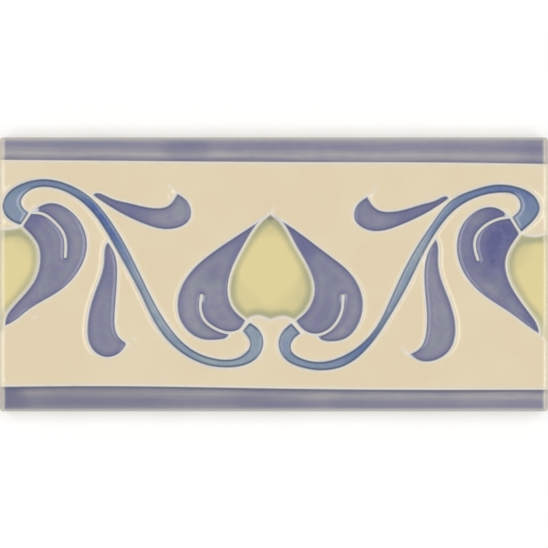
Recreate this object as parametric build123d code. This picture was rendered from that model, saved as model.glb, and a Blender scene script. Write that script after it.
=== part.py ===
from build123d import *
import os

# Border tile, one fired piece. It lies face up: +X along its length, +Y towards the top of the
# ornament, +Z out of the glazed face. The origin is the middle of the back. Millimetres.

# Tile body
TILE_LENGTH = 152.0
TILE_WIDTH = 76.0
BODY_THICKNESS = 8.0
ARRIS_RADIUS = 1.2
CORNER_RADIUS = 0.8

# Tube lines, the raised slip lines that keep the glazes apart
LINE_WIDTH = 0.8
LINE_HEIGHT = 0.6

# Keyed back: rows of shallow pockets between ribs that the adhesive grips
KEY_COLUMNS = 12
KEY_ROWS = 6
KEY_DEPTH = 0.8
KEY_RIM = 5.0
KEY_RIB = 2.5

# The ornament is drawn on a field of this size and is spread to fit the tile
DRAWN_LENGTH = 152.0
DRAWN_WIDTH = 76.0

# Middles of the tube lines, (x, y) from the tile's middle. The two halves were trailed by hand,
# so the right one is close to a mirror image of the left one but is drawn for itself.
LEFT_HALF = {
    "stem_upper": [(-70.0, 13.3), (-73.6, 15.1), (-75.5, 18.3), (-74.2, 22.4), (-69.5, 25.6),
                   (-63.5, 26.7), (-56.5, 25.1), (-50.6, 21.5), (-44.6, 14.4), (-40.0, 6.6),
                   (-32.5, -8.4), (-28.2, -15.1), (-22.9, -20.3), (-14.9, -23.2), (-9.0, -22.2),
                   (-6.9, -19.6), (-9.1, -15.6)],
    "stem_lower": [(-6.8, -12.9), (-3.6, -15.6), (-2.7, -19.2), (-4.4, -23.2), (-13.0, -26.1),
                   (-20.5, -24.8), (-27.5, -20.6), (-33.0, -14.0), (-37.3, -5.4), (-41.1, 1.7),
                   (-45.5, 9.5), (-50.8, 17.3), (-56.0, 21.6), (-63.4, 23.9), (-68.4, 22.3),
                   (-69.8, 19.9), (-67.5, 17.1)],
    "stem_end_outer": [(-70.0, 13.3), (-67.5, 17.1)],
    "stem_end_inner": [(-9.1, -15.6), (-6.8, -12.9)],
    "end_petal_outer": [(-67.5, 17.1), (-64.7, 19.2), (-62.0, 20.0), (-56.4, 17.9), (-52.4, 12.6),
                        (-51.6, 7.3), (-53.6, 1.4), (-58.9, -4.5), (-67.7, -9.9), (-73.4, -14.0),
                        (-74.8, -14.6)],
    "end_petal_inner": [(-70.0, 13.3), (-67.8, 11.2), (-65.5, 7.8), (-65.0, 4.0), (-66.0, -0.5),
                        (-69.0, -5.1), (-72.6, -9.1), (-74.5, -12.2), (-74.8, -14.6)],
    "end_petal_vein": [(-67.5, 17.1), (-64.2, 16.8), (-60.9, 14.6), (-58.2, 11.0), (-57.8, 4.9)],
    "end_bud_top": [(-76.0, 12.6), (-72.5, 12.8), (-70.0, 13.3)],
    "upper_leaf_top": [(-50.5, 21.9), (-49.9, 22.5), (-45.2, 21.4), (-40.5, 20.1), (-34.0, 18.7),
                       (-29.3, 19.3), (-26.9, 22.7)],
    "upper_leaf_base": [(-26.9, 22.7), (-23.6, 20.1), (-23.1, 15.3), (-28.5, 12.3), (-35.6, 13.6),
                        (-43.6, 17.4), (-50.5, 21.9)],
    "lower_leaf_outer": [(-46.0, 9.4), (-46.7, 8.3), (-47.3, 3.8), (-50.0, -5.4), (-51.9, -14.6),
                         (-50.6, -20.7), (-46.8, -23.1), (-42.6, -21.9), (-40.5, -19.1)],
    "lower_leaf_inner": [(-40.5, -19.1), (-43.0, -16.9), (-43.9, -11.4), (-43.2, 0.0),
                         (-43.9, 5.7), (-46.0, 9.4)],
    "middle_petal_outer": [(-3.3, 15.5), (-8.5, 12.1), (-18.3, 5.4), (-23.5, 0.5), (-26.8, -6.5),
                           (-25.6, -13.8), (-20.5, -18.0), (-15.2, -18.3), (-12.9, -17.6),
                           (-12.0, -16.3)],
    "middle_petal_inner": [(-1.0, 17.0), (-3.6, 14.8), (-8.0, 8.4), (-11.1, 2.3), (-12.6, -4.5),
                           (-11.2, -9.3), (-7.5, -12.7)],
    "middle_petal_vein": [(-7.5, -12.7), (-9.4, -15.4), (-12.0, -16.2), (-16.1, -15.1),
                          (-19.2, -12.7), (-20.4, -9.2), (-20.1, -5.8)],
    "bud_base": [(-7.5, -12.7), (-5.0, -11.7), (-1.0, -12.8)],
}
RIGHT_HALF = {
    "stem_upper": [(68.3, 11.3), (71.8, 14.4), (73.9, 18.3), (72.3, 21.9), (67.9, 24.4),
                   (61.8, 25.2), (55.4, 23.8), (49.3, 21.0), (43.8, 14.6), (38.5, 6.5),
                   (31.6, -7.6), (28.4, -13.9), (23.4, -19.5), (16.0, -23.4), (9.0, -23.4),
                   (4.9, -20.2), (5.7, -18.1), (7.9, -16.4)],
    "stem_lower": [(4.9, -13.1), (2.1, -15.7), (1.0, -19.0), (2.5, -23.3), (7.3, -26.0),
                   (13.2, -26.9), (19.9, -25.5), (26.1, -20.7), (32.7, -11.3), (37.7, -2.4),
                   (41.0, 4.3), (45.9, 12.6), (50.4, 17.7), (56.4, 21.1), (62.8, 22.3),
                   (67.2, 21.1), (67.9, 18.6), (65.5, 15.9)],
    "stem_end_outer": [(68.3, 11.3), (65.5, 15.9)],
    "stem_end_inner": [(7.9, -16.4), (4.9, -13.1)],
    "end_petal_outer": [(65.5, 15.9), (63.2, 17.9), (60.4, 18.9), (55.5, 17.5), (51.5, 12.9),
                        (50.4, 7.8), (51.6, 1.9), (57.3, -5.4), (65.8, -11.2), (72.2, -15.9),
                        (73.7, -16.8)],
    "end_petal_inner": [(68.3, 11.3), (66.3, 8.5), (64.5, 4.5), (64.7, 0.0), (66.9, -4.9),
                        (71.1, -10.8), (73.4, -14.8), (73.7, -16.8)],
    "end_petal_vein": [(65.5, 15.9), (62.5, 15.4), (58.5, 13.5), (55.9, 10.3), (55.7, 6.8),
                       (56.5, 4.1)],
    "end_bud_top": [(76.0, 11.5), (72.2, 10.7), (68.3, 11.3)],
    "upper_leaf_top": [(48.8, 21.0), (48.2, 21.7), (44.8, 20.8), (41.5, 19.8), (33.5, 17.7),
                       (28.6, 18.3), (25.9, 21.8)],
    "upper_leaf_base": [(25.9, 21.8), (22.7, 19.1), (22.2, 15.0), (25.0, 12.4), (28.6, 11.7),
                        (35.1, 13.4), (43.2, 17.3), (48.8, 21.0)],
    "lower_leaf_outer": [(44.8, 10.2), (45.3, 9.2), (45.7, 3.3), (48.5, -6.4), (50.5, -15.0),
                         (49.3, -20.4), (44.7, -24.0), (40.0, -24.0), (37.2, -22.0)],
    "lower_leaf_inner": [(37.2, -22.0), (40.3, -20.2), (41.9, -16.0), (41.4, 0.0), (42.5, 6.2),
                         (44.8, 10.2)],
    "middle_petal_outer": [(1.9, 15.3), (5.5, 12.9), (10.8, 9.0), (16.2, 4.9), (21.5, 0.3),
                           (24.7, -6.5), (23.8, -13.4), (20.2, -17.8), (15.3, -18.8),
                           (12.7, -18.1), (11.6, -16.8)],
    "middle_petal_inner": [(-1.0, 17.0), (1.6, 14.9), (5.8, 8.1), (9.2, 2.2), (11.0, -4.2),
                           (9.2, -9.6), (5.6, -12.9)],
    "middle_petal_vein": [(5.6, -12.9), (8.0, -15.6), (11.4, -16.8), (15.1, -15.6), (17.8, -12.6),
                          (19.0, -9.0), (19.1, -6.0)],
    "bud_base": [(5.6, -12.9), (2.9, -11.9), (-1.0, -12.8)],
}
RAIL_LINES = {
    "top_rail": [(-76.0, 31.4), (-40.0, 31.1), (0.0, 30.8), (60.0, 30.5), (76.0, 30.2)],
    "bottom_rail": [(-76.0, -30.8), (-50.0, -30.6), (-20.0, -30.9), (10.0, -31.4), (76.0, -31.6)],
}


def on_tile(point):
    """Place a drawn point on the tile's face."""
    x, y = point
    return (x * TILE_LENGTH / DRAWN_LENGTH, y * TILE_WIDTH / DRAWN_WIDTH)


def arcs_through(points, ways):
    """Tangent arcs, two to a span, through the points, heading each way as they pass."""
    if len(points) == 2:
        return [Line(*points)]
    arcs = []
    for start, end, out, into in zip(points, points[1:], ways, ways[1:]):
        chord = end - start
        run = chord.dot(out + into)
        turn = 2 * (1 - out.dot(into))
        reach = chord.length ** 2 / (run + (run ** 2 + turn * chord.length ** 2) ** 0.5)
        meet = (start + out * reach + end - into * reach) / 2
        arcs.append(TangentArc(start, meet, tangent=out))
        arcs.append(TangentArc(end, meet, tangent=-into))
    return arcs


def tube_line(drawn_points, width):
    """One tube line seen from above: a band along its middle, with round ends."""
    points = [Vector(*on_tile(point)) for point in drawn_points]
    middle = Line(*points) if len(points) == 2 else Spline(*points)
    ways = [middle.tangent_at(point) for point in points]
    left = [point + way.rotate(Axis.Z, 90) * (width / 2) for point, way in zip(points, ways)]
    right = [point + way.rotate(Axis.Z, -90) * (width / 2) for point, way in zip(points, ways)]
    return make_face([
        *arcs_through(left, ways),
        ThreePointArc(left[-1], points[-1] + ways[-1] * (width / 2), right[-1]),
        *arcs_through(right, ways),
        ThreePointArc(right[0], points[0] - ways[0] * (width / 2), left[0]),
    ])


def slab(height):
    """The tile's outline carried up to a height, with the top edges rolled over."""
    outline = RectangleRounded(TILE_LENGTH, TILE_WIDTH, CORNER_RADIUS)
    block = extrude(outline, amount=height)
    return fillet(block.faces().sort_by(Axis.Z)[-1].edges(), ARRIS_RADIUS)


def tube_lines():
    """All the tube lines, standing on the ground and rolling over the arris with it."""
    strokes = [*LEFT_HALF.values(), *RIGHT_HALF.values(), *RAIL_LINES.values()]
    drawing = Sketch() + [tube_line(points, LINE_WIDTH) for points in strokes]
    root = BODY_THICKNESS - 2 * ARRIS_RADIUS
    upright = extrude(Pos(0, 0, root) * drawing, amount=2 * ARRIS_RADIUS + LINE_HEIGHT)
    return upright & slab(BODY_THICKNESS + LINE_HEIGHT)


def key_pockets():
    """The pockets of the keyed back, as solids to cut away."""
    pitch_x = (TILE_LENGTH - 2 * KEY_RIM + KEY_RIB) / KEY_COLUMNS
    pitch_y = (TILE_WIDTH - 2 * KEY_RIM + KEY_RIB) / KEY_ROWS
    pocket = Rectangle(pitch_x - KEY_RIB, pitch_y - KEY_RIB)
    pockets = Sketch() + GridLocations(pitch_x, pitch_y, KEY_COLUMNS, KEY_ROWS) * pocket
    return extrude(pockets, amount=KEY_DEPTH)


border_tile = slab(BODY_THICKNESS) - key_pockets() + tube_lines()

os.makedirs("parts", exist_ok=True)
export_step(border_tile, "parts/border_tile.step")
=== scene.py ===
import math

import bpy
import numpy as np
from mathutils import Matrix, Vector
from mathutils.geometry import delaunay_2d_cdt


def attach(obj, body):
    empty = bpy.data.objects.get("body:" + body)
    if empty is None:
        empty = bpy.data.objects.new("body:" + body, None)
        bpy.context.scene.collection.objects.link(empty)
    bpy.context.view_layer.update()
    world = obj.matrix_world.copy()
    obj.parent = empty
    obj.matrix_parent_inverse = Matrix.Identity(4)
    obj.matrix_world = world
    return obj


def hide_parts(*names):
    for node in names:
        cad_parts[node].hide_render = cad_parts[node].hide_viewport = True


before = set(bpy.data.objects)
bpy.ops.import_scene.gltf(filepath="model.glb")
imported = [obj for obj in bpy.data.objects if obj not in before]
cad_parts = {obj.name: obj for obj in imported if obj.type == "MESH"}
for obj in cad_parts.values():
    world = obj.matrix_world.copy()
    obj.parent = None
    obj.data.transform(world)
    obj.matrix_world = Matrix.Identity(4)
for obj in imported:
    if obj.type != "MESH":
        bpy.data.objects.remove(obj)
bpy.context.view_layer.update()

# Border tile: the glazed face with its tube lines, the arris and the keyed biscuit back.
# The shape is worked out in millimetres and goes into the scene in metres.

METRES = 0.001

# Tile body, as in the part
TILE_LENGTH = 152.0
TILE_WIDTH = 76.0
BODY_THICKNESS = 8.0
ARRIS_RADIUS = 1.2
CORNER_RADIUS = 0.8
KEY_COLUMNS = 12
KEY_ROWS = 6
KEY_DEPTH = 0.8
KEY_RIM = 5.0
KEY_RIB = 2.5

# How the slip and the glaze stand on the face
CROWN_HEIGHT = 0.30
CROWN_HALF_WIDTH = 0.55
MENISCUS_SLOPE = 0.21
MENISCUS_START = 0.40
MENISCUS_STRAIGHT = 1.20
MENISCUS_END = 2.00
BUD_SLOPE = 0.50
GROUND_SLOPE = 0.74
PETAL_SLOPE = 0.80
TAIL_HEIGHT = 0.2
HAND_WAVER = 0.10
EDGE_FADE = 0.5
KEY_DRAFT = 0.25
BED_CHAMFER = 0.25
SIDE_HEIGHTS = (6.2, 5.4, 4.2, 2.8, 1.4, BED_CHAMFER)

# How finely the mesh is laid out
ROW_OFFSETS = (0.0, 0.17, 0.34, 0.50, 0.68, 0.95, 1.30, 1.80)
ROW_STEP = 0.60
FILL_PITCH = 1.40
FILL_CLEAR = 2.10
LOOP_STEP = 0.80
END_FAN = 9
ARRIS_STEPS = 6
CORNER_STEPS = 4
CLOSEST_POINTS = 0.13
ROW_SLACK = 0.03
RIM_CLEAR = 0.02
TAIL_STEP = 0.25
TAIL_TRACE = 0.2
TAIL_RINGS = 5
TAIL_SPOKES = 12
DEPTH_SPREAD = 1.5
FAR_FROM_LINES = 9.0

# Middles of the tube lines, (x, y) from the tile's middle, as in the part
LEFT_HALF = {
    "stem_upper": [(-70.0, 13.3), (-73.6, 15.1), (-75.5, 18.3), (-74.2, 22.4), (-69.5, 25.6),
                   (-63.5, 26.7), (-56.5, 25.1), (-50.6, 21.5), (-44.6, 14.4), (-40.0, 6.6),
                   (-32.5, -8.4), (-28.2, -15.1), (-22.9, -20.3), (-14.9, -23.2), (-9.0, -22.2),
                   (-6.9, -19.6), (-9.1, -15.6)],
    "stem_lower": [(-6.8, -12.9), (-3.6, -15.6), (-2.7, -19.2), (-4.4, -23.2), (-13.0, -26.1),
                   (-20.5, -24.8), (-27.5, -20.6), (-33.0, -14.0), (-37.3, -5.4), (-41.1, 1.7),
                   (-45.5, 9.5), (-50.8, 17.3), (-56.0, 21.6), (-63.4, 23.9), (-68.4, 22.3),
                   (-69.8, 19.9), (-67.5, 17.1)],
    "stem_end_outer": [(-70.0, 13.3), (-67.5, 17.1)],
    "stem_end_inner": [(-9.1, -15.6), (-6.8, -12.9)],
    "end_petal_outer": [(-67.5, 17.1), (-64.7, 19.2), (-62.0, 20.0), (-56.4, 17.9), (-52.4, 12.6),
                        (-51.6, 7.3), (-53.6, 1.4), (-58.9, -4.5), (-67.7, -9.9), (-73.4, -14.0),
                        (-74.8, -14.6)],
    "end_petal_inner": [(-70.0, 13.3), (-67.8, 11.2), (-65.5, 7.8), (-65.0, 4.0), (-66.0, -0.5),
                        (-69.0, -5.1), (-72.6, -9.1), (-74.5, -12.2), (-74.8, -14.6)],
    "end_petal_vein": [(-67.5, 17.1), (-64.2, 16.8), (-60.9, 14.6), (-58.2, 11.0), (-57.8, 4.9)],
    "end_bud_top": [(-76.0, 12.6), (-72.5, 12.8), (-70.0, 13.3)],
    "upper_leaf_top": [(-50.5, 21.9), (-49.9, 22.5), (-45.2, 21.4), (-40.5, 20.1), (-34.0, 18.7),
                       (-29.3, 19.3), (-26.9, 22.7)],
    "upper_leaf_base": [(-26.9, 22.7), (-23.6, 20.1), (-23.1, 15.3), (-28.5, 12.3), (-35.6, 13.6),
                        (-43.6, 17.4), (-50.5, 21.9)],
    "lower_leaf_outer": [(-46.0, 9.4), (-46.7, 8.3), (-47.3, 3.8), (-50.0, -5.4), (-51.9, -14.6),
                         (-50.6, -20.7), (-46.8, -23.1), (-42.6, -21.9), (-40.5, -19.1)],
    "lower_leaf_inner": [(-40.5, -19.1), (-43.0, -16.9), (-43.9, -11.4), (-43.2, 0.0),
                         (-43.9, 5.7), (-46.0, 9.4)],
    "middle_petal_outer": [(-3.3, 15.5), (-8.5, 12.1), (-18.3, 5.4), (-23.5, 0.5), (-26.8, -6.5),
                           (-25.6, -13.8), (-20.5, -18.0), (-15.2, -18.3), (-12.9, -17.6),
                           (-12.0, -16.3)],
    "middle_petal_inner": [(-1.0, 17.0), (-3.6, 14.8), (-8.0, 8.4), (-11.1, 2.3), (-12.6, -4.5),
                           (-11.2, -9.3), (-7.5, -12.7)],
    "middle_petal_vein": [(-7.5, -12.7), (-9.4, -15.4), (-12.0, -16.2), (-16.1, -15.1),
                          (-19.2, -12.7), (-20.4, -9.2), (-20.1, -5.8)],
    "bud_base": [(-7.5, -12.7), (-5.0, -11.7), (-1.0, -12.8)],
}
RIGHT_HALF = {
    "stem_upper": [(68.3, 11.3), (71.8, 14.4), (73.9, 18.3), (72.3, 21.9), (67.9, 24.4),
                   (61.8, 25.2), (55.4, 23.8), (49.3, 21.0), (43.8, 14.6), (38.5, 6.5),
                   (31.6, -7.6), (28.4, -13.9), (23.4, -19.5), (16.0, -23.4), (9.0, -23.4),
                   (4.9, -20.2), (5.7, -18.1), (7.9, -16.4)],
    "stem_lower": [(4.9, -13.1), (2.1, -15.7), (1.0, -19.0), (2.5, -23.3), (7.3, -26.0),
                   (13.2, -26.9), (19.9, -25.5), (26.1, -20.7), (32.7, -11.3), (37.7, -2.4),
                   (41.0, 4.3), (45.9, 12.6), (50.4, 17.7), (56.4, 21.1), (62.8, 22.3),
                   (67.2, 21.1), (67.9, 18.6), (65.5, 15.9)],
    "stem_end_outer": [(68.3, 11.3), (65.5, 15.9)],
    "stem_end_inner": [(7.9, -16.4), (4.9, -13.1)],
    "end_petal_outer": [(65.5, 15.9), (63.2, 17.9), (60.4, 18.9), (55.5, 17.5), (51.5, 12.9),
                        (50.4, 7.8), (51.6, 1.9), (57.3, -5.4), (65.8, -11.2), (72.2, -15.9),
                        (73.7, -16.8)],
    "end_petal_inner": [(68.3, 11.3), (66.3, 8.5), (64.5, 4.5), (64.7, 0.0), (66.9, -4.9),
                        (71.1, -10.8), (73.4, -14.8), (73.7, -16.8)],
    "end_petal_vein": [(65.5, 15.9), (62.5, 15.4), (58.5, 13.5), (55.9, 10.3), (55.7, 6.8),
                       (56.5, 4.1)],
    "end_bud_top": [(76.0, 11.5), (72.2, 10.7), (68.3, 11.3)],
    "upper_leaf_top": [(48.8, 21.0), (48.2, 21.7), (44.8, 20.8), (41.5, 19.8), (33.5, 17.7),
                       (28.6, 18.3), (25.9, 21.8)],
    "upper_leaf_base": [(25.9, 21.8), (22.7, 19.1), (22.2, 15.0), (25.0, 12.4), (28.6, 11.7),
                        (35.1, 13.4), (43.2, 17.3), (48.8, 21.0)],
    "lower_leaf_outer": [(44.8, 10.2), (45.3, 9.2), (45.7, 3.3), (48.5, -6.4), (50.5, -15.0),
                         (49.3, -20.4), (44.7, -24.0), (40.0, -24.0), (37.2, -22.0)],
    "lower_leaf_inner": [(37.2, -22.0), (40.3, -20.2), (41.9, -16.0), (41.4, 0.0), (42.5, 6.2),
                         (44.8, 10.2)],
    "middle_petal_outer": [(1.9, 15.3), (5.5, 12.9), (10.8, 9.0), (16.2, 4.9), (21.5, 0.3),
                           (24.7, -6.5), (23.8, -13.4), (20.2, -17.8), (15.3, -18.8),
                           (12.7, -18.1), (11.6, -16.8)],
    "middle_petal_inner": [(-1.0, 17.0), (1.6, 14.9), (5.8, 8.1), (9.2, 2.2), (11.0, -4.2),
                           (9.2, -9.6), (5.6, -12.9)],
    "middle_petal_vein": [(5.6, -12.9), (8.0, -15.6), (11.4, -16.8), (15.1, -15.6), (17.8, -12.6),
                          (19.0, -9.0), (19.1, -6.0)],
    "bud_base": [(5.6, -12.9), (2.9, -11.9), (-1.0, -12.8)],
}
RAIL_LINES = {
    "top_rail": [(-76.0, 31.4), (-40.0, 31.1), (0.0, 30.8), (60.0, 30.5), (76.0, 30.2)],
    "bottom_rail": [(-76.0, -30.8), (-50.0, -30.6), (-20.0, -30.9), (10.0, -31.4), (76.0, -31.6)],
}

# Lines with the same glaze on both sides, or stem against petal. The glaze leaves all of their width bare.
BARE_LINES = ("end_petal_vein", "middle_petal_vein", "stem_end_outer", "stem_end_inner")

# Loose ends of slip that the glaze only thinly covers: points, width, strength
SLIP_TAILS = [
    ([(-27.2, 22.6), (-27.9, 23.6), (-28.8, 24.6)], 0.9, 0.55),
    ([(-28.8, 21.4), (-29.3, 22.6)], 0.7, 0.35),
    ([(26.0, 21.9), (27.4, 22.6), (28.2, 24.2)], 1.0, 0.45),
    ([(37.2, -22.0), (35.6, -20.4)], 1.2, 0.5),
    ([(-1.0, 17.0), (0.3, 18.8)], 0.9, 0.4),
    ([(19.1, -7.0), (19.2, -6.0)], 1.0, 0.9),
    ([(-20.1, -7.1), (-20.0, -6.2)], 0.9, 0.95),
    ([(41.2, 4.9), (41.5, 3.4)], 0.8, 0.8),
    ([(-66.4, 17.6), (-65.8, 17.9)], 1.0, 1.0),
    ([(65.0, 16.3), (64.5, 16.5)], 1.0, 1.0),
    ([(73.9, -17.0), (75.4, -19.2)], 0.8, 0.35),
    ([(-66.2, -11.8), (-65.8, -11.8)], 1.0, 0.5),
    ([(-38.7, -17.7), (-38.3, -18.1)], 0.9, 0.6),
]

# Depth of colour in the violet and blue glazes at places on the face, x, y and depth: 0 pale and 1 deep
VIOLET_DEPTHS = [
    (-62.0, 0.0, 0.30), (-63.0, 12.0, 0.34), (-67.0, 14.8, 0.75), (-64.5, 18.7, 0.50), (-58.0, 17.0, 0.22),
    (-55.0, 8.0, 0.20), (-66.0, -5.0, 0.28),
    (60.0, 8.0, 0.85), (62.0, 4.0, 0.90), (62.0, 12.0, 1.0), (62.0, 0.0, 0.50), (53.0, 8.0, 0.50),
    (61.5, 17.0, 0.85), (56.0, 16.0, 0.38), (66.0, 12.0, 1.0), (64.0, 1.5, 0.85),
    (65.8, -4.0, 0.70), (68.0, -8.0, 0.60), (71.5, -12.8, 0.85), (60.0, -4.0, 0.20), (66.5, -9.5, 0.20),
    (-10.0, 8.0, 0.50), (-16.0, 0.0, 0.32), (-17.0, -5.0, 0.06), (-23.0, -4.0, 0.10), (-15.0, -12.0, 0.22),
    (-18.0, -17.0, -0.15), (-24.0, -10.0, 0.02),
    (8.0, 9.0, 0.85), (14.0, 0.0, 0.30), (22.0, -4.0, 0.25), (13.0, -12.0, 0.42), (18.0, -17.0, -0.02),
    (22.0, -10.0, 0.02), (20.3, -10.5, 0.40),
    (-47.0, -10.0, 0.30), (-48.0, -18.0, 0.30), (-46.0, 0.0, 0.50), (-40.0, 18.0, 0.70),
    (-30.0, 15.0, 0.15), (-25.0, 17.0, -0.05),
    (45.0, -10.0, 0.10), (46.0, -18.0, 0.12), (43.0, 0.0, 0.08), (39.0, 17.0, 0.72), (28.0, 14.0, 0.25),
    (24.0, 17.0, 0.38),
]
BLUE_DEPTHS = [
    (-72.0, 19.0, 0.35), (-66.0, 25.0, 0.58), (-57.0, 23.5, 0.56), (-49.0, 18.0, 1.10), (-45.0, 12.0, 1.0),
    (-43.4, 8.8, 0.90), (-42.0, 5.5, 0.54), (-38.0, -1.0, 0.28), (-33.0, -11.0, 0.06), (-27.0, -19.0, 0.26),
    (-15.0, -24.8, 0.0), (-6.0, -17.0, 0.15),
    (71.0, 18.0, 0.58), (67.5, 22.3, 0.80), (69.0, 14.0, 0.45), (62.0, 23.6, 0.84), (53.0, 21.0, 0.64),
    (46.0, 15.5, 0.50), (40.0, 6.0, 0.08), (36.0, -1.0, 0.20), (31.0, -11.0, 0.20), (28.4, -15.4, 0.55),
    (25.0, -19.5, 0.85), (13.0, -25.4, 0.40), (4.0, -21.0, 0.36), (4.0, -15.5, 0.20),
]
# The same for the violet of the rails, which clouds less, by this share of the depths listed
RAIL_DEPTH_SHARE = 0.55
RAIL_DEPTHS = [
    (-74.0, -32.0, 2.10), (-73.0, -35.0, 1.20), (-66.0, -33.5, 0.10), (-58.0, -35.0, 0.60),
    (-40.0, -35.0, 0.45), (-20.0, -34.0, 0.05), (-2.0, -34.0, 0.75), (2.0, -36.0, 0.60),
    (14.0, -33.4, 0.0), (20.0, -35.5, 0.45), (40.0, -36.0, 0.35), (60.0, -33.5, 0.0), (70.0, -35.0, 0.20),
    (-74.0, 35.0, 0.10), (-50.0, 36.0, 0.30), (-35.0, 34.0, 0.0), (-25.0, 35.8, 0.95), (-21.0, 35.5, 0.80),
    (-15.0, 35.0, 0.05), (-8.0, 36.0, 0.35), (0.0, 36.0, 0.40), (10.0, 35.5, 0.25), (35.0, 35.0, 0.0),
    (60.0, 36.0, 0.20), (67.0, 35.5, 0.70), (73.0, 35.0, 0.95), (73.0, 32.0, 0.80), (66.0, 32.6, 0.05),
]
# The same for the olive that gathers in the yellow buds
OLIVE_DEPTHS = [
    (-75.0, 11.6, 0.85), (-71.5, 11.8, 0.80), (-73.0, 8.0, -0.05), (-67.0, 6.0, 0.20), (-70.0, 3.0, -0.20),
    (-75.0, -6.0, -0.20), (-68.5, -1.5, 0.10), (-74.0, -11.0, 0.10),
    (75.0, 10.3, 0.75), (70.0, 10.0, 0.85), (73.0, 7.0, -0.05), (66.5, 4.0, 0.40), (71.0, 0.0, -0.25),
    (75.0, -6.0, -0.25), (68.0, -2.0, 0.10), (73.5, -12.0, 0.10),
    (-1.0, 15.2, 1.0), (-1.0, 12.0, 0.35), (-1.0, 8.0, -0.30), (-7.0, 0.0, -0.30), (4.0, 0.0, -0.30),
    (-1.0, 3.0, -0.4), (8.3, -2.0, 0.45), (7.6, -7.0, 0.50), (-10.5, -3.0, 0.35), (-9.0, -8.5, 0.25),
    (-5.0, -10.5, 0.40), (-1.0, -11.0, 0.50), (3.0, -10.5, 0.40), (-5.0, -8.9, 0.25), (2.0, -8.9, 0.25),
    (-1.0, -6.5, -0.30), (-1.0, -2.0, -0.40),
]


def smooth_curve(points, step):
    """Evenly spaced points of a natural cubic curve through the given ones."""
    values = np.array(points, float)
    spans = np.hypot(*np.diff(values, axis=0).T)
    at = np.concatenate([[0.0], np.cumsum(spans)])
    count = len(values)
    matrix = np.eye(count)
    right = np.zeros((count, 2))
    for i in range(1, count - 1):
        matrix[i, i - 1:i + 2] = spans[i - 1], 2 * (spans[i - 1] + spans[i]), spans[i]
        right[i] = 6 * ((values[i + 1] - values[i]) / spans[i] - (values[i] - values[i - 1]) / spans[i - 1])
    bend = np.linalg.solve(matrix, right)
    along = np.linspace(0.0, at[-1], max(3, int(at[-1] / 0.05)))
    k = np.clip(np.searchsorted(at, along) - 1, 0, count - 2)
    span = spans[k][:, None]
    after = (at[k + 1] - along)[:, None]
    before = (along - at[k])[:, None]
    curve = (bend[k] * after ** 3 + bend[k + 1] * before ** 3) / (6 * span)
    curve += (values[k] / span - bend[k] * span / 6) * after
    curve += (values[k + 1] / span - bend[k + 1] * span / 6) * before
    length = np.concatenate([[0.0], np.cumsum(np.hypot(*np.diff(curve, axis=0).T))])
    even = np.linspace(0.0, length[-1], max(2, int(round(length[-1] / step)) + 1))
    return np.column_stack([np.interp(even, length, curve[:, 0]), np.interp(even, length, curve[:, 1])])


def distance_to(points, curve):
    """Distance from each point to a polyline."""
    start = curve[:-1]
    run = curve[1:] - start
    share = np.einsum("psk,sk->ps", points[:, None, :] - start[None], run) / (run ** 2).sum(axis=1)
    nearest = start[None] + np.clip(share, 0.0, 1.0)[..., None] * run[None]
    return np.sqrt(((points[:, None, :] - nearest) ** 2).sum(axis=2).min(axis=1))


def gap_to_strokes(points, strokes):
    """Distance from each point to the nearest of the strokes."""
    gap = np.full(len(points), FAR_FROM_LINES)
    for curve in strokes:
        low = curve.min(axis=0) - FAR_FROM_LINES
        high = curve.max(axis=0) + FAR_FROM_LINES
        near = np.flatnonzero(((points > low) & (points < high)).all(axis=1))
        for part in np.array_split(near, max(1, len(near) * len(curve) // 2000000 + 1)):
            if len(part):
                gap[part] = np.minimum(gap[part], distance_to(points[part], curve))
    return gap


def inside(points, outline):
    """Whether each point lies inside a closed outline."""
    x, y = points[:, 0], points[:, 1]
    hits = np.zeros(len(points), bool)
    for (x0, y0), (x1, y1) in zip(outline, np.roll(outline, -1, axis=0)):
        if y0 == y1:
            continue
        crosses = (y0 > y) != (y1 > y)
        hits ^= crosses & (x < (x1 - x0) * (y - y0) / (y1 - y0) + x0)
    return hits


def inset_of(points):
    """How far each point of the face lies inside the tile's rounded outline."""
    reach = np.array([TILE_LENGTH / 2, TILE_WIDTH / 2]) - CORNER_RADIUS
    past = np.abs(points) - reach
    outer = np.hypot(*np.maximum(past, 0.0).T)
    inner = np.minimum(past.max(axis=1), 0.0)
    return CORNER_RADIUS - outer - inner


def outline_loop(inset):
    """Points round the tile, anticlockwise, at an inset from its outline."""
    half_x = TILE_LENGTH / 2 - inset
    half_y = TILE_WIDTH / 2 - inset
    radius = max(CORNER_RADIUS - inset, 0.0)
    signs = [(1, -1), (1, 1), (-1, 1), (-1, -1)]
    loop = []
    for i, (sx, sy) in enumerate(signs):
        centre = np.array([sx * (half_x - radius), sy * (half_y - radius)])
        start = math.radians(-90 + 90 * i)
        turn = [start + math.radians(90) * k / CORNER_STEPS for k in range(CORNER_STEPS + 1)]
        loop += [centre + radius * np.array([math.cos(a), math.sin(a)]) for a in turn]
        side = TILE_WIDTH if i % 2 == 0 else TILE_LENGTH
        pieces = int(side / LOOP_STEP)
        next_x, next_y = signs[(i + 1) % 4]
        corner = np.array([next_x * (half_x - radius), next_y * (half_y - radius)])
        last = corner + radius * np.array([math.cos(turn[-1]), math.sin(turn[-1])])
        first = loop[-1]
        loop += [first + (last - first) * k / pieces for k in range(1, pieces)]
    return np.array(loop)


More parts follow.
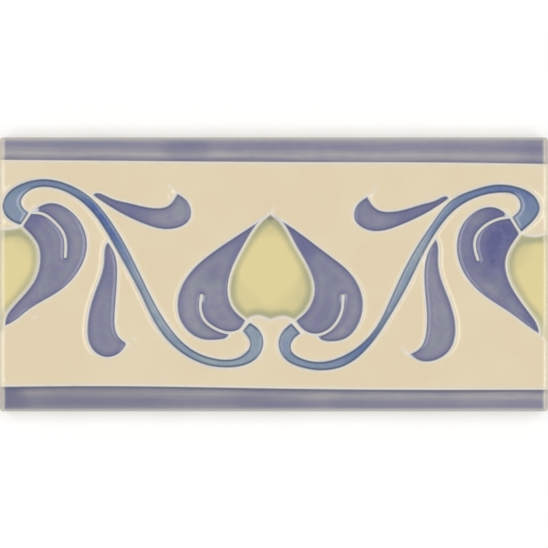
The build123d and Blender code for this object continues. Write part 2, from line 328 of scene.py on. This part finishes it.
def thinned(points, fixed, spacing):
    """The points that keep their distance from the fixed ones and from those already kept."""
    cells = {}

    def crowded(point):
        column, row = int(point[0] // spacing), int(point[1] // spacing)
        for i in range(column - 1, column + 2):
            for j in range(row - 1, row + 2):
                for other in cells.get((i, j), ()):
                    if math.hypot(point[0] - other[0], point[1] - other[1]) < spacing:
                        return True
        return False

    def settle(point):
        cells.setdefault((int(point[0] // spacing), int(point[1] // spacing)), []).append(point)

    for point in fixed:
        settle(point)
    kept = []
    for point in points:
        if not crowded(point):
            settle(point)
            kept.append(point)
    return np.array(kept)


def triangles_within(loop, others):
    """Triangles over a closed loop of points and the points inside it, wound anticlockwise."""
    points = np.vstack([loop, others])
    flat = [Vector((float(x), float(y))) for x, y in points]
    made = delaunay_2d_cdt(flat, [], [list(range(len(loop)))], 1, 1e-6)
    source = [origin[0] for origin in made[3]]
    return points, [tuple(source[i] for i in face) for face in made[2]]


# The strokes as curves, and the cells that they close
curves = {}
for side, half in (("left", LEFT_HALF), ("right", RIGHT_HALF), ("rail", RAIL_LINES)):
    for name, points in half.items():
        curves[side, name] = smooth_curve(points, ROW_STEP / 2)
strokes = list(curves.values())


def joined(side, *names):
    """One outline from strokes laid end to end; a name that starts with a minus runs backwards."""
    runs = [curves[side, n.lstrip("-")][::-1] if n[0] == "-" else curves[side, n] for n in names]
    return np.vstack(runs)


cells = {"stem": [], "petal": [], "bud": [], "rail": []}
half_length = TILE_LENGTH / 2
half_width = TILE_WIDTH / 2
for side, end_x in (("left", -half_length), ("right", half_length)):
    cells["stem"].append(joined(side, "stem_upper", "stem_end_inner", "stem_lower", "-stem_end_outer"))
    cells["petal"].append(joined(side, "end_petal_outer", "-end_petal_inner", "stem_end_outer"))
    cells["petal"].append(joined(side, "upper_leaf_top", "upper_leaf_base"))
    cells["petal"].append(joined(side, "lower_leaf_outer", "lower_leaf_inner"))
    vein = curves[side, "middle_petal_vein"]
    foot = vein[:len(vein) // 3]
    petal_end = curves[side, "middle_petal_outer"][-1]
    reach = np.argmin(np.hypot(*(foot - petal_end).T)) + 1
    cells["petal"].append(np.vstack([curves[side, "middle_petal_outer"], foot[:reach][::-1],
                                     joined(side, "-middle_petal_inner")]))
    tip = curves[side, "end_petal_inner"][-1]
    edge = np.array([(end_x, tip[1] - 2.0)])
    cells["bud"].append(np.vstack([joined(side, "end_bud_top", "end_petal_inner"), edge]))
cells["bud"].append(np.vstack([joined("left", "middle_petal_inner", "bud_base"),
                               joined("right", "-bud_base", "-middle_petal_inner")]))
for name, edge_y in (("top_rail", half_width), ("bottom_rail", -half_width)):
    cells["rail"].append(np.vstack([joined("rail", name), [(half_length, edge_y), (-half_length, edge_y)]]))

# Points of the face: the outline, the arris, rows beside each line and a sparse filling
rim = outline_loop(0.0)
laid = []
for step in range(1, ARRIS_STEPS + 1):
    laid.append(outline_loop(ARRIS_RADIUS * (1 - math.cos(math.radians(90.0 * step / ARRIS_STEPS)))))
rows = []
for offset in ROW_OFFSETS:
    for curve in strokes:
        even = curve[::2] if len(curve) > 4 else curve
        ahead = np.gradient(even, axis=0)
        ahead /= np.hypot(*ahead.T)[:, None]
        across = np.column_stack([-ahead[:, 1], ahead[:, 0]])
        for way in ((1, -1) if offset else (1,)):
            rows.append((offset, even + across * way * offset))
        for turn in np.linspace(-math.pi / 2, math.pi / 2, END_FAN) if offset else ():
            swing = math.cos(turn) * ahead + math.sin(turn) * across
            rows.append((offset, np.vstack([even[0] - swing[0] * offset, even[-1] + swing[-1] * offset])))
for points, width, strength in SLIP_TAILS:
    middle = smooth_curve(points, TAIL_STEP)
    for radius in np.linspace(0.0, width, TAIL_RINGS):
        for turn in np.linspace(0.0, 2 * math.pi, TAIL_SPOKES, endpoint=False):
            ring = middle + radius * np.array([math.cos(turn), math.sin(turn)])
            laid.append(ring[inset_of(ring) > RIM_CLEAR])
for offset, points in rows:
    true_gap = gap_to_strokes(points, strokes)
    fits = (true_gap > offset - ROW_SLACK) & (inset_of(points) > RIM_CLEAR)
    laid.append(points[fits])
grid_x = np.arange(-half_length + FILL_PITCH, half_length, FILL_PITCH)
grid_y = np.arange(-half_width + FILL_PITCH, half_width, FILL_PITCH * math.sqrt(0.75))
fill = np.array([(x + (FILL_PITCH / 2 if j % 2 else 0.0), y) for j, y in enumerate(grid_y) for x in grid_x])
fill = fill[(gap_to_strokes(fill, strokes) > FILL_CLEAR) & (inset_of(fill) > ARRIS_RADIUS + FILL_PITCH / 2)]
face_others = thinned(np.vstack(laid + [fill]), rim, CLOSEST_POINTS)
face_points, face_triangles = triangles_within(rim, face_others)

# Heights and glaze over those points
masks = {kind: np.zeros(len(face_points)) for kind in cells}
for kind, outlines in cells.items():
    for outline in outlines:
        masks[kind] = np.maximum(masks[kind], inside(face_points, outline))
gap = gap_to_strokes(face_points, strokes)
bare_gap = gap_to_strokes(face_points, [curve for (_, name), curve in curves.items() if name in BARE_LINES])
inset = inset_of(face_points)
x, y = face_points.T
hand = 1.0 + HAND_WAVER * np.sin(0.83 * x + 1.9 * np.sin(0.31 * y)) * np.cos(0.71 * y - 0.4)
crown = CROWN_HEIGHT * hand * np.cos(np.clip(gap / CROWN_HALF_WIDTH, 0.0, 1.0) * math.pi / 2) ** 2
ease_out = np.clip(MENISCUS_END - gap, 0.0, MENISCUS_END - MENISCUS_STRAIGHT)
meniscus = ease_out ** 2 / (2 * (MENISCUS_END - MENISCUS_STRAIGHT))
meniscus += np.clip(MENISCUS_STRAIGHT - gap, 0.0, MENISCUS_STRAIGHT - MENISCUS_START)
meniscus *= MENISCUS_SLOPE * np.where(sum(masks.values()) > 0.5, 1.0, GROUND_SLOPE)
meniscus *= np.where(masks["bud"] > 0.5, BUD_SLOPE, 1.0) * np.where(masks["petal"] > 0.5, PETAL_SLOPE, 1.0)
tail = np.zeros(len(face_points))
for points, width, strength in SLIP_TAILS:
    near = distance_to(face_points, smooth_curve(points, TAIL_TRACE))
    tail = np.maximum(tail, strength * np.cos(np.clip(near / width, 0.0, 1.0) * math.pi / 2) ** 2)
rolled = np.clip(1.0 - inset / ARRIS_RADIUS, 0.0, 1.0)
drop = ARRIS_RADIUS * (1.0 - np.sqrt(np.maximum(1.0 - rolled ** 2, 0.0)))
fade = np.clip(inset / EDGE_FADE, 0.0, 1.0)
height = BODY_THICKNESS - drop + fade * (np.maximum(crown, TAIL_HEIGHT * tail) + meniscus)


def depth_from(places):
    """Depth of colour over the face, eased between the places where it was judged."""
    total = np.zeros(len(face_points))
    weight = np.zeros(len(face_points))
    for px, py, depth in places:
        share = 1.0 / ((x - px) ** 2 + (y - py) ** 2 + DEPTH_SPREAD) ** 1.5
        total += share * depth
        weight += share
    return total / weight


depth = depth_from(VIOLET_DEPTHS)
glaze_depths = {
    "stem": depth_from(BLUE_DEPTHS),
    "rail": RAIL_DEPTH_SHARE * depth_from(RAIL_DEPTHS),
    "bud": depth_from(OLIVE_DEPTHS),
}
for kind, own_depth in glaze_depths.items():
    depth = np.where(masks[kind] > 0.4, own_depth, depth)

# Sides: the rim carried down to the bed
side_rows = [np.column_stack([rim, np.full(len(rim), z)]) for z in SIDE_HEIGHTS]
bed = outline_loop(BED_CHAMFER)
side_rows.append(np.column_stack([bed, np.zeros(len(bed))]))


def key_lines(length, count):
    """Where the pockets' walls start and end along one way, and whether each place is sunk."""
    pitch = (length - 2 * KEY_RIM + KEY_RIB) / count
    first = -pitch * count / 2 + KEY_RIB / 2
    stops = []
    for i in range(count):
        low = first + i * pitch
        high = low + pitch - KEY_RIB
        stops += [(low, 0.0), (low + KEY_DRAFT, 1.0), ((low + high) / 2, 1.0)]
        stops += [(high - KEY_DRAFT, 1.0), (high, 0.0)]
    return stops


columns = key_lines(TILE_LENGTH, KEY_COLUMNS)
lines = key_lines(TILE_WIDTH, KEY_ROWS)
back_inner = np.array([(cx, cy) for cx, _ in columns for cy, _ in lines])
back_sunk = np.array([min(sx, sy) for _, sx in columns for _, sy in lines])
back_points, back_triangles = triangles_within(bed, back_inner)

# One closed mesh: face, sides and back
face_count = len(face_points)
rim_count = len(rim)
vertices = [np.column_stack([face_points, height])] + side_rows
vertices.append(np.column_stack([back_inner, KEY_DEPTH * back_sunk]))
vertices = np.vstack(vertices)
faces = list(face_triangles)
upper = np.arange(rim_count)
for row in range(len(side_rows)):
    lower = face_count + row * rim_count + np.arange(rim_count)
    for i in range(rim_count):
        j = (i + 1) % rim_count
        faces.append((upper[i], lower[i], lower[j], upper[j]))
    upper = lower
back_start = len(faces)
bed_start = face_count + (len(side_rows) - 1) * rim_count
faces += [tuple(bed_start + i for i in reversed(face)) for face in back_triangles]

mesh = bpy.data.meshes.new("border_tile_glazed")
mesh.from_pydata((vertices * METRES).tolist(), [], [tuple(int(i) for i in face) for face in faces])
mesh.validate()
mesh.shade_smooth()
mesh.set_sharp_from_angle(angle=math.radians(60))
rest = len(vertices) - face_count
fields = {
    "line_gap": (gap, FAR_FROM_LINES),
    "bare_gap": (bare_gap, FAR_FROM_LINES),
    "slip_tail": (tail, 0.0),
    "depth": (depth, 0.0),
    "petal": (masks["petal"], 0.0),
    "stem": (masks["stem"], 0.0),
    "bud": (masks["bud"], 0.0),
    "rail": (masks["rail"], 0.0),
}
for name, (values, elsewhere) in fields.items():
    data = np.concatenate([values, np.full(rest, elsewhere)]).astype(np.float32)
    mesh.attributes.new(name, "FLOAT", "POINT").data.foreach_set("value", data)
tile = bpy.data.objects.new("border_tile_glazed", mesh)
bpy.context.scene.collection.objects.link(tile)


def colour(red, green, blue):
    """A colour as seen on a screen, 0 to 255, as the linear one that a shader takes."""
    shares = [v / 255.0 for v in (red, green, blue)]
    return tuple(s / 12.92 if s <= 0.04045 else ((s + 0.055) / 1.055) ** 2.4 for s in shares) + (1.0,)


GROUND = colour(226, 211, 179)
GROUND_WARM = colour(225, 208, 175)
SLIP = colour(229, 221, 206)
SLIP_COOL = colour(214, 212, 210)
PETAL_PALE = colour(145, 144, 157)
PETAL_DEEP = colour(84, 86, 135)
PETAL_GREEN = colour(127, 141, 148)
PETAL_MAUVE = colour(119, 115, 158)
PETAL_POOL = colour(100, 101, 142)
PETAL_EDGE = colour(76, 74, 98)
STEM_PALE = colour(148, 160, 172)
STEM_COBALT = colour(66, 88, 150)
STEM_TEAL = colour(108, 137, 156)
STEM_EDGE = colour(58, 70, 90)
BUD_YELLOW = colour(224, 209, 150)
BUD_OLIVE = colour(172, 169, 131)
BUD_SMOKE = colour(112, 115, 104)
BUD_TIP = (-1.0, 16.0)
RAIL_VIOLET = colour(86, 88, 132)
RAIL_DARK = colour(92, 94, 110)
# Grey of the top and bottom edges: partly thin glaze over the arris, partly painted shade where the arris
# turns away from the side lamps.
EDGE_THIN_GLAZE_AND_SHADE = colour(196, 194, 188)
# Pale of the ends: partly glaze breaking thin over the arris, partly a painted highlight where the arris
# faces the side lamps.
END_BREAK_AND_HIGHLIGHT = colour(244, 231, 205)
BISCUIT = colour(222, 208, 186)
BISCUIT_DARK = colour(203, 186, 162)
BISCUIT_SPECK = colour(168, 146, 120)
# Colour of the rails by distance from their line, millimetres
RAIL_TONES = [
    (0.45, colour(126, 122, 132)), (0.90, colour(134, 131, 144)), (1.50, colour(154, 151, 159)),
    (2.20, colour(169, 164, 167)), (3.00, colour(155, 151, 158)), (3.90, colour(137, 135, 152)),
    (5.00, colour(134, 132, 152)), (5.90, colour(152, 149, 157)),
]
RAIL_REACH = 7.5
# How each glaze climbs the slip: millimetres from the line's middle where the cover starts and is full
SLIP_EDGES = {"petal": (0.03, 0.54), "stem": (0.08, 0.59), "rail": (0.14, 0.52), "bud": (0.02, 0.85)}


def add_node(tree, kind, inputs=None, **settings):
    """A node with its settings and inputs, where an input is a value or another node's output."""
    made = tree.nodes.new(kind)
    for name, value in settings.items():
        setattr(made, name, value)
    for name, value in (inputs or {}).items():
        if isinstance(value, bpy.types.NodeSocket):
            tree.links.new(value, made.inputs[name])
        else:
            made.inputs[name].default_value = value
    return made


def field(tree, name):
    """One of the mesh's own fields."""
    return add_node(tree, "ShaderNodeAttribute", attribute_name=name).outputs["Fac"]


def ease(tree, value, low, high, start=0.0, end=1.0):
    """A smooth step of a value from low to high."""
    inputs = {"Value": value, "From Min": low, "From Max": high, "To Min": start, "To Max": end}
    made = add_node(tree, "ShaderNodeMapRange", inputs, interpolation_type="SMOOTHSTEP")
    return made.outputs["Result"]


def maths(tree, operation, first, second=0.0):
    """One sum on values."""
    return add_node(tree, "ShaderNodeMath", {0: first, 1: second}, operation=operation).outputs[0]


def blend(tree, share, first, second):
    """A colour between two others."""
    return add_node(tree, "ShaderNodeMix", {0: share, 6: first, 7: second}, data_type="RGBA").outputs[2]


def ramp(tree, share, stops):
    """Colours along a share from 0 to 1."""
    made = add_node(tree, "ShaderNodeValToRGB", {"Fac": share})
    band = made.color_ramp
    while len(band.elements) < len(stops):
        band.elements.new(1.0)
    for element, (place, tint) in zip(band.elements, stops):
        element.position = place
        element.color = tint
    return made.outputs["Color"]


def noise(tree, place, scale, detail=3.0, roughness=0.55):
    """Soft noise from 0 to 1."""
    inputs = {"Vector": place, "Scale": scale, "Detail": detail, "Roughness": roughness}
    return add_node(tree, "ShaderNodeTexNoise", inputs).outputs["Fac"]


def stretched(tree, place, scale):
    """A place scaled apart along the axes."""
    return add_node(tree, "ShaderNodeVectorMath", {0: place, 1: scale}, operation="MULTIPLY").outputs[0]


def new_material(name):
    """An empty node material: its tree, its shader and the place on the tile in millimetres."""
    material = bpy.data.materials.new(name)
    material.use_nodes = True
    tree = material.node_tree
    tree.nodes.clear()
    shader = add_node(tree, "ShaderNodeBsdfPrincipled")
    output = add_node(tree, "ShaderNodeOutputMaterial")
    tree.links.new(shader.outputs["BSDF"], output.inputs["Surface"])
    place = add_node(tree, "ShaderNodeTexCoord").outputs["Object"]
    return material, tree, shader, stretched(tree, place, (1.0 / METRES,) * 3)


def biscuit_colour(tree, place):
    """Fired unglazed clay: a warm body with darker clouds and fine specks."""
    clouds = ease(tree, noise(tree, place, 0.09, 4.0), 0.35, 0.70)
    specks = ease(tree, noise(tree, place, 2.6, 2.0), 0.66, 0.74, 0.0, 0.5)
    return blend(tree, specks, blend(tree, clouds, BISCUIT, BISCUIT_DARK), BISCUIT_SPECK)


def glaze_material():
    """The glazes of the face, the slip lines between them and the biscuit that shows low on the sides."""
    material, tree, shader, place = new_material("tile_glaze")
    axes = add_node(tree, "ShaderNodeSeparateXYZ", {0: place}).outputs
    line_gap = field(tree, "line_gap")
    depth_field = field(tree, "depth")
    mottle = noise(tree, place, 0.35, 4.0)
    drift = maths(tree, "MULTIPLY", maths(tree, "SUBTRACT", mottle, 0.5), 0.35)
    depth_here = maths(tree, "ADD", depth_field, drift)
    depth_here = add_node(tree, "ShaderNodeClamp", {"Value": depth_here}).outputs[0]

    ground = blend(tree, ease(tree, noise(tree, place, 0.07, 2.0), 0.35, 0.65), GROUND, GROUND_WARM)
    # Painted highlight: the ground is paled towards the slip colour up to 1.2 mm from each line's middle,
    # where the glaze slopes up to it.
    ground = blend(tree, ease(tree, line_gap, 0.30, 1.20, 0.26, 0.0), ground, SLIP)

    pooled = maths(tree, "ADD", depth_here, ease(tree, line_gap, 2.0, 4.5, 0.0, 0.18))
    petal = blend(tree, pooled, PETAL_PALE, PETAL_DEEP)
    clouds = noise(tree, place, 0.42, 3.0)
    thin = maths(tree, "SUBTRACT", 1.0, pooled)
    cloudy = maths(tree, "MULTIPLY", ease(tree, clouds, 0.46, 0.66, 0.0, 0.50), thin)
    petal = blend(tree, cloudy, petal, PETAL_GREEN)
    petal = blend(tree, ease(tree, clouds, 0.36, 0.50, 0.32, 0.0), petal, PETAL_MAUVE)
    petal = blend(tree, ease(tree, line_gap, 0.80, 2.6, 0.52, 0.0), petal, PETAL_POOL)
    petal = blend(tree, ease(tree, line_gap, 0.50, 1.20, 0.66, 0.0), petal, PETAL_EDGE)

    stem = blend(tree, depth_here, STEM_PALE, STEM_COBALT)
    stem = blend(tree, ease(tree, clouds, 0.42, 0.66, 0.0, 0.38), stem, STEM_TEAL)
    stem = blend(tree, ease(tree, line_gap, 0.52, 1.20, 0.88, 0.0), stem, STEM_EDGE)

    olive = maths(tree, "ADD", ease(tree, line_gap, 0.70, 3.1, 0.80, 0.0),
                  maths(tree, "MULTIPLY", depth_field, 0.8))
    olive = add_node(tree, "ShaderNodeClamp", {"Value": olive}).outputs[0]
    bud = blend(tree, olive, BUD_YELLOW, BUD_OLIVE)
    tip_x, tip_y = [maths(tree, "SUBTRACT", axes[i], BUD_TIP[i]) for i in range(2)]
    tip_gap = maths(tree, "SQRT", maths(tree, "ADD", maths(tree, "MULTIPLY", tip_x, tip_x),
                                        maths(tree, "MULTIPLY", tip_y, tip_y)))
    bud = blend(tree, ease(tree, tip_gap, 0.2, 1.9, 0.80, 0.0), bud, BUD_SMOKE)
    smoky = maths(tree, "MULTIPLY", ease(tree, line_gap, 0.50, 1.3, 0.55, 0.0),
                  ease(tree, tip_gap, 2.0, 7.5, 1.0, 0.0))
    bud = blend(tree, smoky, bud, BUD_SMOKE)

    streaks = noise(tree, stretched(tree, place, (0.05, 0.9, 1.0)), 1.0, 4.0)
    blotches = noise(tree, stretched(tree, place, (0.10, 0.25, 1.0)), 1.0, 3.0)
    rail_stops = [(distance / RAIL_REACH, tint) for distance, tint in RAIL_TONES]
    wander = maths(tree, "MULTIPLY", maths(tree, "SUBTRACT", streaks, 0.5), 2.0)
    away = maths(tree, "DIVIDE", maths(tree, "ADD", line_gap, wander), RAIL_REACH)
    rail = ramp(tree, away, rail_stops)
    deeper = maths(tree, "ADD", depth_here, ease(tree, blotches, 0.55, 0.85, 0.0, 0.25))
    rail = blend(tree, maths(tree, "MULTIPLY", deeper, 0.75), rail, RAIL_VIOLET)
    lower_rail = ease(tree, axes[1], -1.0, 1.0, 1.0, 0.0)
    rail = blend(tree, maths(tree, "MULTIPLY", lower_rail, ease(tree, axes[0], -70.0, 60.0, 0.32, 0.08)),
                 rail, RAIL_DARK)
    dark_edge = maths(tree, "MULTIPLY", ease(tree, line_gap, 0.70, 1.3, 0.6, 0.0), lower_rail)
    rail = blend(tree, dark_edge, rail, RAIL_DARK)

    tint = blend(tree, field(tree, "rail"), ground, rail)
    tint = blend(tree, field(tree, "petal"), tint, petal)
    tint = blend(tree, field(tree, "stem"), tint, stem)
    tint = blend(tree, field(tree, "bud"), tint, bud)
    slip = ease(tree, line_gap, 0.28, 0.50, 1.0, 0.0)
    for kind, (low, high) in SLIP_EDGES.items():
        thinning = ease(tree, line_gap, low, high, 1.0, 0.0)
        slip = add_node(tree, "ShaderNodeMix", {0: field(tree, kind), 2: slip, 3: thinning},
                        data_type="FLOAT").outputs[0]
    slip = maths(tree, "MAXIMUM", slip, ease(tree, field(tree, "bare_gap"), 0.28, 0.50, 1.0, 0.0))
    slip = maths(tree, "MAXIMUM", slip, field(tree, "slip_tail"))
    slip_tint = blend(tree, maths(tree, "ADD", field(tree, "petal"), field(tree, "stem")), SLIP, SLIP_COOL)
    tint = blend(tree, slip, tint, slip_tint)

    end_gap = maths(tree, "SUBTRACT", TILE_LENGTH / 2, maths(tree, "ABSOLUTE", axes[0]))
    edge_gap = maths(tree, "SUBTRACT", TILE_WIDTH / 2, maths(tree, "ABSOLUTE", axes[1]))
    # Top and bottom edges greyed: partly thin glaze over the arris, partly painted shade where it turns
    # away from the side lamps.
    tint = blend(tree, ease(tree, edge_gap, 0.1, 1.3, 0.95, 0.0), tint, EDGE_THIN_GLAZE_AND_SHADE)
    # Ends paled over the arris: partly the glaze breaking thin, partly a painted highlight where the arris
    # faces the side lamps; held back on the rails, stems and buds.
    held = 0.0
    for kind, share in (("rail", 0.35), ("stem", 0.85), ("bud", 0.35)):
        held = maths(tree, "ADD", held, maths(tree, "MULTIPLY", field(tree, kind), share))
    end_break_and_highlight = maths(tree, "MULTIPLY", ease(tree, end_gap, 0.6, 2.0, 0.75, 0.0),
                   maths(tree, "SUBTRACT", 1.0, held))
    tint = blend(tree, end_break_and_highlight, tint, END_BREAK_AND_HIGHLIGHT)

    runs = noise(tree, stretched(tree, place, (0.35, 0.35, 0.12)), 1.0, 3.0)
    lowest = maths(tree, "ADD", maths(tree, "MULTIPLY", runs, 2.4), 4.0)
    bare = ease(tree, maths(tree, "SUBTRACT", axes[2], lowest), -0.12, 0.12, 1.0, 0.0)
    tint = blend(tree, bare, tint, biscuit_colour(tree, place))
    tree.links.new(tint, shader.inputs["Base Color"])

    fine = noise(tree, place, 0.8, 3.0)
    gloss = ease(tree, fine, 0.3, 0.7, 0.10, 0.16)
    gloss = maths(tree, "ADD", gloss, maths(tree, "MULTIPLY", slip, 0.10))
    rough = add_node(tree, "ShaderNodeMix", {0: bare, 2: gloss, 3: 0.85}, data_type="FLOAT").outputs[0]
    tree.links.new(rough, shader.inputs["Roughness"])
    grain = noise(tree, place, 6.0, 4.0, 0.7)
    ripple = noise(tree, place, 0.5, 2.0)
    relief = add_node(tree, "ShaderNodeMix", {0: bare, 2: maths(tree, "MULTIPLY", ripple, 0.35), 3: grain},
                      data_type="FLOAT").outputs[0]
    bump = add_node(tree, "ShaderNodeBump", {"Height": relief, "Strength": 0.25, "Distance": 0.00006})
    tree.links.new(bump.outputs["Normal"], shader.inputs["Normal"])
    return material


def biscuit_material():
    """The unglazed keyed back."""
    material, tree, shader, place = new_material("tile_biscuit")
    tree.links.new(biscuit_colour(tree, place), shader.inputs["Base Color"])
    grain = noise(tree, place, 6.0, 4.0, 0.7)
    tree.links.new(ease(tree, grain, 0.3, 0.7, 0.80, 0.92), shader.inputs["Roughness"])
    bump = add_node(tree, "ShaderNodeBump", {"Height": grain, "Strength": 0.4, "Distance": 0.00010})
    tree.links.new(bump.outputs["Normal"], shader.inputs["Normal"])
    return material


mesh.materials.append(glaze_material())
mesh.materials.append(biscuit_material())
kinds = np.zeros(len(mesh.polygons), np.int32)
kinds[back_start:] = 1
mesh.polygons.foreach_set("material_index", kinds)
mesh.update()
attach(tile, "root")
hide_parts("border_tile")

# Floor, white where the camera sees it, with the tile's shadow kept
FLOOR_HALF = 3.0
FLOOR_SHARE = 0.85
FLOOR_LIFT = 0.03
FLOOR_DROP = 0.00005
floor_mesh = bpy.data.meshes.new("floor")
corners = [(sx * FLOOR_HALF, sy * FLOOR_HALF, 0.0) for sx, sy in ((-1, -1), (1, -1), (1, 1), (-1, 1))]
floor_mesh.from_pydata(corners, [], [(0, 1, 2, 3)])
floor = bpy.data.objects.new("floor", floor_mesh)
floor.location.z = -FLOOR_DROP
bpy.context.scene.collection.objects.link(floor)
floor_material, floor_tree, floor_shader, _ = new_material("floor_paper")
floor_shader.inputs["Base Color"].default_value = (FLOOR_SHARE, FLOOR_SHARE, FLOOR_SHARE, 1.0)
floor_shader.inputs["Roughness"].default_value = 0.9
floor_shader.inputs["Specular IOR Level"].default_value = 0.0
floor_shader.inputs["Emission Color"].default_value = (1.0, 1.0, 1.0, 1.0)
seen = add_node(floor_tree, "ShaderNodeLightPath").outputs["Is Camera Ray"]
lift = maths(floor_tree, "MULTIPLY", seen, 1.0 - FLOOR_SHARE + FLOOR_LIFT)
floor_tree.links.new(lift, floor_shader.inputs["Emission Strength"])
floor_mesh.materials.append(floor_material)

# Plain light: a pale room and a long soft lamp on each side, as over a copy stand
ROOM_STRENGTH = 0.45
LAMP_POWER = 1.72
LAMP_PLACE = (0.36, 0.0, 0.60)
LAMP_SIZE = (0.64, 0.24)
world = bpy.data.worlds.new("room")
bpy.context.scene.world = world
world.use_nodes = True
room = world.node_tree
room.nodes.clear()
path = add_node(room, "ShaderNodeLightPath").outputs
direct = maths(room, "MAXIMUM", path["Is Camera Ray"], path["Is Glossy Ray"])
direct = maths(room, "MAXIMUM", direct, path["Is Transmission Ray"])
level = add_node(room, "ShaderNodeMix", {0: direct, 2: ROOM_STRENGTH, 3: 1.0}, data_type="FLOAT").outputs[0]
sky = add_node(room, "ShaderNodeBackground", {"Color": (1.0, 1.0, 1.0, 1.0), "Strength": level})
room_output = add_node(room, "ShaderNodeOutputWorld")
room.links.new(sky.outputs["Background"], room_output.inputs["Surface"])
for side in (-1, 1):
    lamp_data = bpy.data.lights.new("softbox", "AREA")
    lamp_data.shape = "RECTANGLE"
    lamp_data.size, lamp_data.size_y = LAMP_SIZE
    lamp_data.energy = LAMP_POWER
    lamp = bpy.data.objects.new("softbox", lamp_data)
    lamp.location = (side * LAMP_PLACE[0], LAMP_PLACE[1], LAMP_PLACE[2])
    aim = Vector((0.0, 0.0, BODY_THICKNESS * METRES)) - lamp.location
    lamp.rotation_euler = aim.to_track_quat("-Z", "Y").to_euler()
    bpy.context.scene.collection.objects.link(lamp)

# Camera straight above, with the tile as wide as the picture
LENS = 200.0
SENSOR = 36.0
LOOK_UP = 0.00011
camera_data = bpy.data.cameras.new("camera")
camera_data.lens = LENS
camera_data.sensor_width = SENSOR
camera = bpy.data.objects.new("camera", camera_data)
stand_off = TILE_LENGTH * METRES * LENS / SENSOR
camera.location = (0.0, LOOK_UP, (BODY_THICKNESS - ARRIS_RADIUS) * METRES + stand_off)
bpy.context.scene.collection.objects.link(camera)
bpy.context.scene.camera = camera
bpy.context.scene.view_settings.view_transform = "Standard"

bpy.context.view_layer.update()
